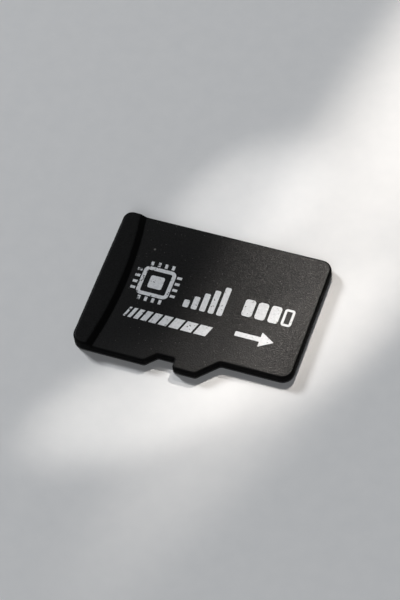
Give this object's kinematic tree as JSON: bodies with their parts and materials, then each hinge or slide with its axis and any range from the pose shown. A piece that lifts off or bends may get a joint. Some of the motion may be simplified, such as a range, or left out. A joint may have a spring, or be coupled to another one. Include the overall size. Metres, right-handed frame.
{
  "type": "miniature flash memory card",
  "caption": "Thin black memory card with a raised grip ridge, a sloped shoulder and latch notch on one side, and gold contacts on the back that plug into a slot.",
  "frame": {"origin": "under the middle of the card, on the plane of its back face", "axes": "+X the way the card is pushed into its slot, +Y towards the straight long side, +Z out of the label face"},
  "size_m": [0.015, 0.011, 0.001],
  "materials": {
    "mould_compound": "fine eroded grain, matte black",
    "board_laminate": "black mask, satin",
    "contact_plating": "gold plating, polished",
    "silicon": "polished silicon",
    "die_film": "adhesive film",
    "bond_wire": "drawn gold wire",
    "plated_foil": "gold plated copper foil",
    "capacitor_ceramic": "fired ceramic with tinned ends",
    "resistor_ceramic": "glazed ceramic with tinned ends",
    "label_ink": "silvery white printing ink"
  },
  "bodies": {
    "root": {"bond_fingers": "plated_foil", "capacitor_1": "capacitor_ceramic", "capacitor_2": "capacitor_ceramic", "capacitor_3": "capacitor_ceramic", "capacitor_4": "capacitor_ceramic", "circuit_board": "board_laminate", "contact_1": "contact_plating", "contact_2": "contact_plating", "contact_3": "contact_plating", "contact_4": "contact_plating", "contact_5": "contact_plating", "contact_6": "contact_plating", "contact_7": "contact_plating", "contact_8": "contact_plating", "controller_bond_wires": "bond_wire", "controller_die": "silicon", "controller_die_film": "die_film", "flash_bond_wires": "bond_wire", "flash_die": "silicon", "flash_die_film": "die_film", "mould_body": "mould_compound", "resistor_1": "resistor_ceramic", "resistor_2": "resistor_ceramic", "solder_lands": "plated_foil"}
  },
  "joints": []
}
